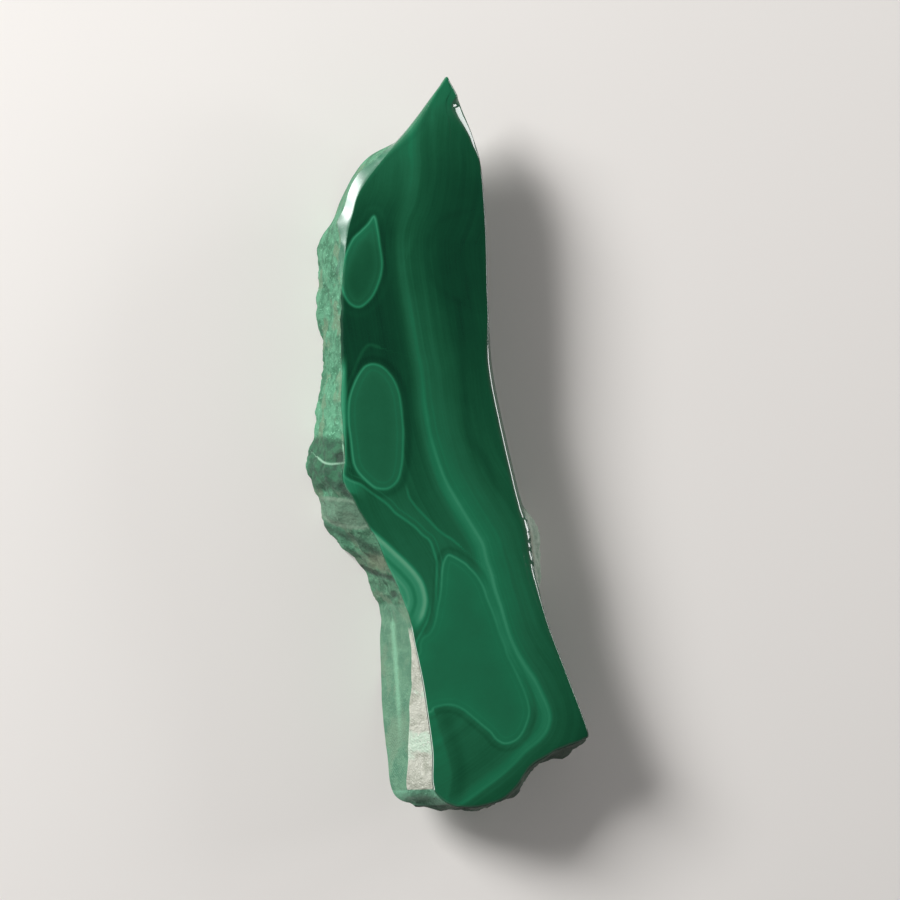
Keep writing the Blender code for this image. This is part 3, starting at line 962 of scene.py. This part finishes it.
@dataclass(frozen=True)
class Markings:
    """The banding of the stone, worked out as a tone from 0 to 1 from the lines drawn on it.

    Each curve gives a share by a place in millimetres, which is along the slab or beside the flowing band.
    """

    line_width: float = 0.34
    ground_tone: float = 0.392
    ground_right: tuple = (
        (-52, 0.60), (-38, 0.63), (-22, 0.80), (-10, 0.80), (2, 0.74), (14, 0.66), (24, 0.59),
        (36, 0.62), (52, 0.90),
    )
    ground_left: tuple = (
        (-52, 0.78), (-38, 0.90), (-24, 0.96), (-14, 0.88), (-4, 0.78), (2, 0.68), (14, 0.58),
        (30, 0.60), (36, 0.80), (42, 0.95), (52, 1.0),
    )
    band_tone: float = 0.152
    band_across: tuple = (
        (-3.4, 0.0), (-2.2, 0.08), (-1.5, 0.30), (-1.0, 0.62), (-0.55, 0.86), (-0.15, 1.0), (0.1, 0.98),
        (0.35, 0.72), (0.7, 0.66), (0.95, 0.74), (1.2, 0.58), (2.0, 0.52), (2.3, 0.58), (2.6, 0.46),
        (3.8, 0.34), (4.8, 0.18), (6.0, 0.0),
    )
    band_along: tuple = (
        (-52, 0.8), (-38, 0.80), (-26, 0.80), (-16, 0.95), (-8, 1.0), (2, 0.94), (14, 0.94),
        (20, 0.88), (27, 0.75), (33, 0.5), (40, 0.25), (52, 0.0),
    )
    lobe_tone: float = 0.385
    lobe_crest: tuple = ((-42, 0.9), (-34, 0.5), (-26, 0.35), (-19, 0.7), (-14, 1.0))
    swirl_tone: float = 0.50
    edge_tone: float = 0.53
    oval_high_tone: float = 0.295
    oval_low_tone: float = 0.345
    cloud_depth: float = 0.035
    mottle_depth: float = 0.018

    def tone(self, graph: Graph, place: Wire) -> Wire:
        """Builds the tone.

        Args:
            graph: The material's graph.
            place: The place on the stone, in millimetres.

        Returns:
            The tone at that place.
        """
        height = graph.node("SeparateXYZ", {}, {0: place}, 1)
        flow, run, _ = graph.line("flow")
        tone = self.ground(graph, height, flow)
        tone = tone + self.streaks(graph, flow, run)
        tone = self.strands(graph, tone)
        tone = self.swirl(graph, tone)
        tone = self.lobe(graph, tone, height)
        tone = self.ovals(graph, tone, place)
        cloud = graph.noise(place, 0.35, 4.0, 0.6) - 0.5
        mottle = graph.noise(place, 2.6, 3.0, 0.6) - 0.5
        return tone + cloud * self.cloud_depth + mottle * self.mottle_depth

    def ground(self, graph: Graph, height: Wire, flow: Wire) -> Wire:
        """The green between the figures and the flowing band down the middle."""
        side = (0.0 - flow).rise(-1.2, 1.2)
        ground = height.curve(self.ground_right).towards(height.curve(self.ground_left), side)
        band = flow.curve(self.band_across) * height.curve(self.band_along)
        crest = flow.peak(0.4, -0.1) * height.fall(-6.0, 14.0)
        tip = height.rise(43.0, 50.0)
        branch, _, _ = graph.line("branch")
        seam, seam_run, seam_left = graph.line("seam")
        ring, _, _ = graph.line("ring")
        dark = seam.peak(1.0) * seam_left.rise(0.0, 6.0) * seam_run.rise(0.0, 4.0)
        tone = ground * self.ground_tone + crest * 0.035 + tip * 0.05 + band * self.band_tone
        return tone + branch.peak(0.9) * 0.02 - dark * 0.02 - ring.peak(0.8) * 0.012

    def streaks(self, graph: Graph, flow: Wire, run: Wire) -> Wire:
        """Fine streaks that run beside the flowing band."""
        broad = graph.noise(graph.combine(flow * 0.9, run * 0.04, 0.0), 1.0, 3.0, 0.6) - 0.5
        fine = graph.noise(graph.combine(flow * 4.0, run * 0.06, 3.0), 1.0, 2.0, 0.6) - 0.5
        return broad * 0.07 + fine * 0.04

    def strands(self, graph: Graph, tone: Wire) -> Wire:
        """The two thin strands that run from the lower oval to the lobe, lighter between them."""
        first, first_run, first_left = graph.line("strand_a")
        second, second_run, _ = graph.line("strand_b")
        between = first.rise(-0.2, 0.5) * second.fall(-0.6, 0.6) * first_left.rise(7.0, 11.0)
        tone = tone + between * 0.03 * second_run.rise(0.0, 3.0)
        tone = tone + first.peak(self.line_width) * 0.11 * first_left.rise(0.0, 6.0)
        tone = tone + first.peak(0.2, 0.75) * 0.04 * first_left.rise(2.0, 8.0)
        tone = tone + first.between(-1.6, 0.0, 0.3) * 0.14 * first_run.fall(2.0, 6.0)
        return tone + second.peak(self.line_width) * 0.08 * second_run.rise(0.0, 2.0)

    def swirl(self, graph: Graph, tone: Wire) -> Wire:
        """The pale band that swings from the ledge down to the bevel, and the zone it holds."""
        away, run, left = graph.line("swirl")
        held = away.fall(-0.4, 0.4)
        tone = tone.towards(self.swirl_tone, held * run.rise(0.0, 2.0) * left.rise(-1.0, 3.0))
        ends = run.rise(0.0, 2.5) * left.rise(0.0, 3.0)
        tone = tone + away.peak(0.7, -0.3) * 0.10 * ends
        tone = tone - away.peak(0.5, -1.7) * 0.07 * ends + away.peak(0.4, -2.6) * 0.04 * ends
        nest, _, nest_left = graph.line("nest")
        return tone + nest.peak(0.3) * 0.08 * nest_left.rise(0.0, 3.0)

    def lobe(self, graph: Graph, tone: Wire, height: Wire) -> Wire:
        """The three-cornered lobe with its fine pale outline, and the line below it."""
        away, _, _ = graph.line("lobe")
        low, _, low_left = graph.line("low_line")
        lower = height.fall(-36.5, -34.5)
        tone = tone + low.between(-3.0, 0.0, 0.35) * lower * 0.05 - low.peak(1.6, 1.4) * lower * 0.03
        body = away.rise(-3.0, -0.4) * 0.02 + self.lobe_tone
        tone = tone.towards(body, away.fall(-0.15, 0.15))
        crest = height.curve(self.lobe_crest)
        tone = tone + away.peak(0.22, -0.85) * 0.02 * crest - away.peak(0.5, 0.9) * 0.03
        return tone + away.peak(self.line_width) * 0.12 * crest

    def ovals(self, graph: Graph, tone: Wire, place: Wire) -> Wire:
        """The two long ovals beside the left edge."""
        high, _, _ = graph.line("oval_high")
        low, _, _ = graph.line("oval_low")
        outer, _, _ = graph.line("outer_low")
        across = graph.node("SeparateXYZ", {}, {0: place}, 0)
        height = graph.node("SeparateXYZ", {}, {0: place}, 1)
        tone = tone + outer.peak(0.45) * 0.06 + high.peak(0.6, 1.1) * 0.015 - low.peak(0.7, 0.8) * 0.03
        edge = across.fall(-16.3, -15.7) * height.between(-3.0, 12.0, 1.5)
        tone = tone.towards(self.edge_tone, edge * 0.8)
        upper = (across * -1.0 + height).rise(38.0, 46.0)
        heart = high.rise(-1.8, -0.4) * 0.045 + self.oval_high_tone + upper * 0.08
        tone = tone.towards(heart, high.fall(-0.15, 0.15))
        tone = tone + high.peak(self.line_width) * 0.14 - high.peak(0.25, -0.55) * 0.02
        heart = low.rise(-2.4, -0.5) * 0.02 + self.oval_low_tone + low.peak(0.25, -0.9) * 0.02
        tone = tone.towards(heart, low.fall(-0.15, 0.15))
        return tone + low.peak(self.line_width) * (across.fall(-15.5, -9.0) * 0.06 + 0.11)


@dataclass(frozen=True)
class Rough:
    """The colours and the texture of an unpolished stretch."""

    mask: str
    base: tuple[int, int, int]
    fleck: tuple[int, int, int]
    shade: tuple[int, int, int]
    stain: tuple[int, int, int]
    banding: float
    roughness: float

    def colour(self, graph: Graph, stone: Wire, place: Wire) -> Wire:
        """The stretch's colour, with flecks, shaded hollows, stains and some of the stone's banding."""
        patches = graph.noise(place, 0.5, 5.0, 0.65)
        grains = graph.noise(place, 2.4, 3.0, 0.7)
        stains = graph.noise(place, 0.21, 3.0, 0.55)
        base = graph.mix(patches.rise(0.42, 0.62), linear(*self.base), linear(*self.shade))
        base = graph.mix(stains.rise(0.52, 0.60) * 0.8, base, linear(*self.stain))
        base = graph.mix(grains.rise(0.56, 0.68) * 0.8, base, linear(*self.fleck))
        return graph.mix(self.banding, base, stone)


SPLIT = Rough("split", (80, 144, 110), (116, 182, 146), (44, 106, 74), (98, 128, 98), 0.12, 0.85)
LEDGE = Rough("ledge", (70, 122, 92), (104, 142, 114), (40, 90, 62), (90, 116, 92), 0.06, 0.9)
SAWN = Rough("sawn", (84, 134, 104), (108, 154, 126), (60, 120, 90), (98, 134, 106), 0.1, 0.6)
# The bevel's near-white is partly the sawn stone's own pale colour and partly painted sheen of the key light
# on the facet.
BEVEL = Rough("bevel", (188, 190, 176), (208, 210, 198), (160, 164, 148), (188, 214, 192), 0.0, 0.45)
# The broken end's near-black greens are partly its own brownish matrix and partly painted shade, as the end
# faces away from the key light.
BROKEN = Rough("broken", (34, 60, 40), (74, 76, 62), (22, 46, 30), (58, 60, 48), 0.3, 0.65)
# The chip's pale grey-green is partly its own colour and partly painted light, standing in for the fill
# light that catches the chip on the right side.
CHIP = Rough("chip", (158, 176, 160), (182, 196, 182), (124, 150, 130), (144, 154, 136), 0.1, 0.6)
FACET = Rough("facet", (60, 122, 94), (88, 146, 118), (48, 106, 80), (74, 130, 104), 0.3, 0.32)
CORNER = Rough("corner", (100, 158, 128), (128, 182, 152), (78, 136, 106), (104, 148, 120), 0.1, 0.6)
BACK = Rough("back", (84, 138, 110), (104, 152, 126), (70, 122, 96), (78, 116, 92), 0.55, 0.5)


@dataclass(frozen=True)
class WallMarks:
    """The marks of the broken left wall: its cracked block, ledge, stains, crevice and saw streak, with
    painted shade in its hollows and under the ledge and a painted highlight on the bevel's rim.
    """

    block: tuple[int, int, int] = (28, 92, 60)
    block_shade: tuple[int, int, int] = (16, 64, 42)
    crack: tuple[int, int, int] = (140, 184, 156)
    # Painted shade in the wall's pocket, gap, pit and crevice
    hollow_shade: tuple[int, int, int] = (28, 58, 42)
    ledge: tuple[int, int, int] = (84, 116, 94)
    ledge_edge: tuple[int, int, int] = (122, 148, 126)
    # Painted shade under the ledge
    under: tuple[int, int, int] = (24, 62, 42)
    rust: tuple[int, int, int] = (106, 116, 92)
    streak: tuple[int, int, int] = (118, 176, 142)
    saw_line: tuple[int, int, int] = (44, 90, 66)
    # A painted highlight: the key light's glint on the rounded rim where the polished face meets the bevel.
    bevel_rim_highlight: tuple[int, int, int] = (222, 240, 228)
    saw_way: tuple[float, float, float] = (0.6, 1.0, 0.55)
    saw_pitch: float = 14.0
    saw_wander: float = 9.0

    def colour(self, graph: Graph, colour: Wire, place: Wire) -> Wire:
        """Lays the marks over the wall's colour, among them painted shade and a painted highlight.

        Args:
            graph: The material's graph.
            colour: The wall's colour.
            place: The place on the stone, in millimetres.

        Returns:
            The marked colour.
        """
        wall = graph.attribute("wall")
        sawn = graph.attribute("sawn")
        patches = graph.noise(place, 0.9, 4.0, 0.6).rise(0.4, 0.6)
        ragged = self.ragged(graph, place)
        names = ("block", "ledge_top", "rust", "under", "crack_across", "crack_down")
        block, ledge, rust, under, across, down = (graph.line(name)[0] for name in names)
        ledge = ledge + ragged * 0.6
        streak, _, streak_left = graph.line("saw_streak")
        streak = (streak + ragged * 0.5).peak(0.55) * streak_left.rise(3.0, 14.0)
        mottled = graph.mix(patches, linear(*self.block), linear(*self.block_shade))
        marks = (
            ((block + ragged).fall(-0.5, 0.3) * wall * 0.92, mottled),
            (ledge.fall(-0.4, 0.2) * wall * 0.75, linear(*self.ledge)),
            (ledge.peak(0.45, -0.3) * wall * 0.5, linear(*self.ledge_edge)),
            ((rust + ragged).fall(-0.6, 0.4) * wall * 0.6, linear(*self.rust)),
            (self.saw_lines(graph, place).rise(0.1, 0.9) * sawn * 0.45, linear(*self.saw_line)),
            (streak * sawn * 0.75, linear(*self.streak)),
            # Painted highlight along the bevel's rim
            (graph.attribute("bevel").peak(0.2, 0.26) * wall.fall(0.5, 0.9), linear(*self.bevel_rim_highlight)),
            (across.peak(0.26) * wall * 0.8, linear(*self.crack)),
            (down.peak(0.2) * wall * 0.8, linear(*self.crack)),
            # Painted shade along the band under the ledge
            ((under + ragged * 0.7).peak(0.9) * wall * 0.8, linear(*self.under)),
            # Painted shade in the hollows, darker the deeper they are
            (self.hollows(graph, ragged) * wall * 0.85, linear(*self.hollow_shade)),
        )
        for share, mark in marks:
            colour = graph.mix(share, colour, mark)
        return colour

    @staticmethod
    def ragged(graph: Graph, place: Wire) -> Wire:
        """How far the edge of a mark strays, in millimetres."""
        return (graph.noise(place, 2.6, 3.0, 0.7) - 0.5) * 1.2

    def saw_lines(self, graph: Graph, place: Wire) -> Wire:
        """The saw's fine slanting lines, from -1 to 1, which waver and die out in places."""
        sockets = {0: place, 1: self.saw_way}
        along = graph.node("VectorMath", {"operation": "DOT_PRODUCT"}, sockets, "Value")
        wander = graph.noise(place, 0.9, 3.0, 0.6)
        broken = graph.noise(place, 0.5, 3.0, 0.6).rise(0.35, 0.6)
        return (along * self.saw_pitch + wander * self.saw_wander).math("SINE") * broken

    @staticmethod
    def hollows(graph: Graph, ragged: Wire) -> Wire:
        """How deep the wall's pocket, gap, pit and crevice are at each place, from 0 to 1."""
        deep = (graph.line("pocket")[0] + ragged * 0.3).fall(-0.3, 0.2)
        deep = deep.math("MAXIMUM", (graph.line("gap")[0] + ragged * 0.6).fall(-0.5, 0.3))
        deep = deep.math("MAXIMUM", graph.line("pit")[0].fall(-0.3, 0.3))
        return deep.math("MAXIMUM", (graph.line("crevice")[0] + ragged * 0.3).peak(0.5))


@dataclass(frozen=True)
class Malachite:
    """The stone's one material: polished, split, sawn and broken in turn by the finish at each place."""

    polish: float = 0.07
    polish_change: float = 0.04
    reflective_index: float = 1.66
    saw_depth: float = 0.09
    hollow_depth: float = 0.8
    bump_strength: float = 0.9
    bump_height: float = 0.35 * MM

    def build(self) -> bpy.types.Material:
        """Builds the material.

        Returns:
            The material.
        """
        material = bpy.data.materials.new("malachite")
        material.use_nodes = True
        graph = Graph(material.node_tree)
        metres = graph.node("TexCoord", {}, {}, "Object")
        place = graph.node("VectorMath", {"operation": "SCALE"}, {0: metres, "Scale": 1 / MM})
        marks = WallMarks()
        stone = Greens().colour(graph, Markings().tone(graph, place))
        colour = stone
        change = graph.noise(place, 0.8, 4.0, 0.6) * self.polish_change
        roughness = change + (self.polish - self.polish_change / 2)
        rough: Wire | float = 0.0
        for finish in (SPLIT, LEDGE, SAWN, BEVEL, BROKEN, CHIP, FACET, CORNER, BACK):
            mask = graph.attribute(finish.mask).rise(0.3, 0.7)
            colour = graph.mix(mask, colour, finish.colour(graph, stone, place))
            roughness = roughness.towards(finish.roughness, mask)
            if finish is not FACET:
                rough = mask + rough
        colour = marks.colour(graph, colour, place)
        shader = graph.tree.nodes.new("ShaderNodeBsdfPrincipled")
        shader.inputs["IOR"].default_value = self.reflective_index
        links = graph.tree.links
        links.new(colour.socket, shader.inputs["Base Color"])
        links.new(roughness.socket, shader.inputs["Roughness"])
        links.new(self.texture(graph, place, rough, marks).socket, shader.inputs["Normal"])
        output = graph.tree.nodes.new("ShaderNodeOutputMaterial")
        links.new(shader.outputs[0], output.inputs["Surface"])
        return material

    def texture(self, graph: Graph, place: Wire, rough: Wire, marks: WallMarks) -> Wire:
        """The bump of the unpolished stretches: grains, hollows and the saw's marks.

        Args:
            graph: The material's graph.
            place: The place on the stone, in millimetres.
            rough: How rough the stone is there.
            marks: The wall's marks.

        Returns:
            The bumped normal.
        """
        grains = graph.noise(place, 1.6, 6.0, 0.7) * rough
        sawn = graph.attribute("sawn") + graph.attribute("bevel") * 0.6 + graph.attribute("back")
        lines = marks.saw_lines(graph, place) * -self.saw_depth
        hollows = marks.hollows(graph, marks.ragged(graph, place)) * graph.attribute("wall")
        height = grains + lines * sawn - hollows * self.hollow_depth
        sockets = {"Strength": self.bump_strength, "Distance": self.bump_height, "Height": height}
        return graph.node("Bump", {}, sockets)


@dataclass
class Studio:
    """The plain pale floor, the soft lights and the camera.

    The floor and the lights are set out in metres, and the camera in millimetres.
    """

    floor_side: float = 4.0
    floor_depth: float = 0.02 * MM
    floor_tone: tuple[int, int, int] = (231, 227, 223)
    floor_roughness: float = 0.8
    floor_shine: float = 0.2
    camera_aim: tuple[float, float, float] = (0.0, 0.0, 6.0)
    view_height: float = 127.0
    key_bearing: float = math.radians(148)
    key_height: float = math.radians(29.5)
    key_distance: float = 0.75
    key_side: float = 0.26
    key_power: float = 8.1
    edge_place: tuple[float, float, float] = (0.61, 0.097, 0.2)
    edge_size: tuple[float, float] = (0.13, 0.14)
    edge_power: float = 0.6
    tip_place: tuple[float, float, float] = (0.554, 0.34, 0.15)
    tip_size: tuple[float, float] = (0.19, 0.18)
    tip_power: float = 1.0
    sky_low: float = 0.31
    sky_high: float = 0.02

    def build(self) -> None:
        """Builds the floor, the lights and the camera."""
        self.floor()
        bearing, level = self.key_bearing, math.cos(self.key_height)
        way = Vector((level * math.cos(bearing), level * math.sin(bearing), math.sin(self.key_height)))
        key_place = Vector(self.camera_aim) * MM + way * self.key_distance
        self.softbox("key", key_place, (self.key_side, self.key_side), self.key_power)
        self.softbox("edge", Vector(self.edge_place), self.edge_size, self.edge_power)
        self.softbox("tip", Vector(self.tip_place), self.tip_size, self.tip_power)
        self.sky()
        bpy.context.scene.view_settings.view_transform = "Standard"
        self.camera()

    def sky(self) -> None:
        """Surrounds the floor with soft light that is dark overhead, so the polished face stays deep."""
        world = bpy.data.worlds.new("studio")
        world.use_nodes = True
        graph = Graph(world.node_tree)
        way = graph.node("TexCoord", {}, {}, "Generated")
        height = graph.node("SeparateXYZ", {}, {0: way}, 2)
        stops = ((0.0, (self.sky_low,) * 3), (0.55, (self.sky_low,) * 3), (0.9, (self.sky_high,) * 3))
        colour = graph.node("ValToRGB", {"stops": stops}, {"Fac": height})
        background = graph.tree.nodes.new("ShaderNodeBackground")
        output = graph.tree.nodes.new("ShaderNodeOutputWorld")
        graph.tree.links.new(colour.socket, background.inputs["Color"])
        graph.tree.links.new(background.outputs[0], output.inputs["Surface"])
        bpy.context.scene.world = world

    def floor(self) -> None:
        """Lays the floor just under the stone."""
        bpy.ops.object.select_all(action="DESELECT")
        bpy.ops.mesh.primitive_plane_add(size=self.floor_side)
        floor = bpy.context.active_object
        floor.name = "floor"
        for vertex in floor.data.vertices:
            vertex.co.z = -self.floor_depth
        material = bpy.data.materials.new("pale_floor")
        material.use_nodes = True
        shader = material.node_tree.nodes["Principled BSDF"]
        shader.inputs["Base Color"].default_value = linear(*self.floor_tone)
        shader.inputs["Roughness"].default_value = self.floor_roughness
        shader.inputs["Specular IOR Level"].default_value = self.floor_shine
        floor.data.materials.append(material)

    def softbox(self, name: str, place: Vector, size: tuple[float, float], power: float) -> None:
        """Hangs a rectangular soft light that faces the stone.

        Args:
            name: The light's name.
            place: Where its middle is.
            size: Its width and height.
            power: Its power in watts.
        """
        light = bpy.data.lights.new(name, "AREA")
        light.shape = "RECTANGLE"
        light.size, light.size_y = size
        light.energy = power
        lamp = bpy.data.objects.new(name, light)
        lamp.matrix_world = self.facing(place, Vector(self.camera_aim) * MM, Vector((0, 0, 1)))
        bpy.context.scene.collection.objects.link(lamp)

    def camera(self) -> None:
        """Sets the camera at the photograph's viewing angle, with the stone filling the frame."""
        place, aim = Vector(VIEWPOINT) * MM, Vector(self.camera_aim) * MM
        lens = bpy.data.cameras.new("camera")
        lens.sensor_fit = "VERTICAL"
        lens.angle = 2 * math.atan(self.view_height * MM / 2 / (place - aim).length)
        lens.clip_start = 0.01
        camera = bpy.data.objects.new("camera", lens)
        camera.matrix_world = self.facing(place, aim, Vector((0, 1, 0)))
        bpy.context.scene.collection.objects.link(camera)
        bpy.context.scene.camera = camera

    @staticmethod
    def facing(place: Vector, aim: Vector, up: Vector) -> Matrix:
        """The place and turn of something that looks at a point.

        Args:
            place: Where it stands.
            aim: What it looks at.
            up: The way that its top leans.

        Returns:
            Its matrix.
        """
        ahead = (aim - place).normalized()
        right = ahead.cross(up).normalized()
        turn = Matrix((right, right.cross(ahead), -ahead)).transposed()
        return Matrix.Translation(place) @ turn.to_4x4()


def main() -> None:
    """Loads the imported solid, builds the stone over it and sets the studio."""
    logging.basicConfig(level=logging.INFO, format="%(name)s: %(message)s")
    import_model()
    stone = Slab().build()
    stone.data.materials.append(Malachite().build())
    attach(stone, "root")
    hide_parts(NODE)
    LOG.info("%s: %d points, %d faces", stone.name, len(stone.data.vertices), len(stone.data.polygons))
    Studio().build()
    LOG.info("floor, lights and camera are set")


if __name__ == "__main__":
    main()
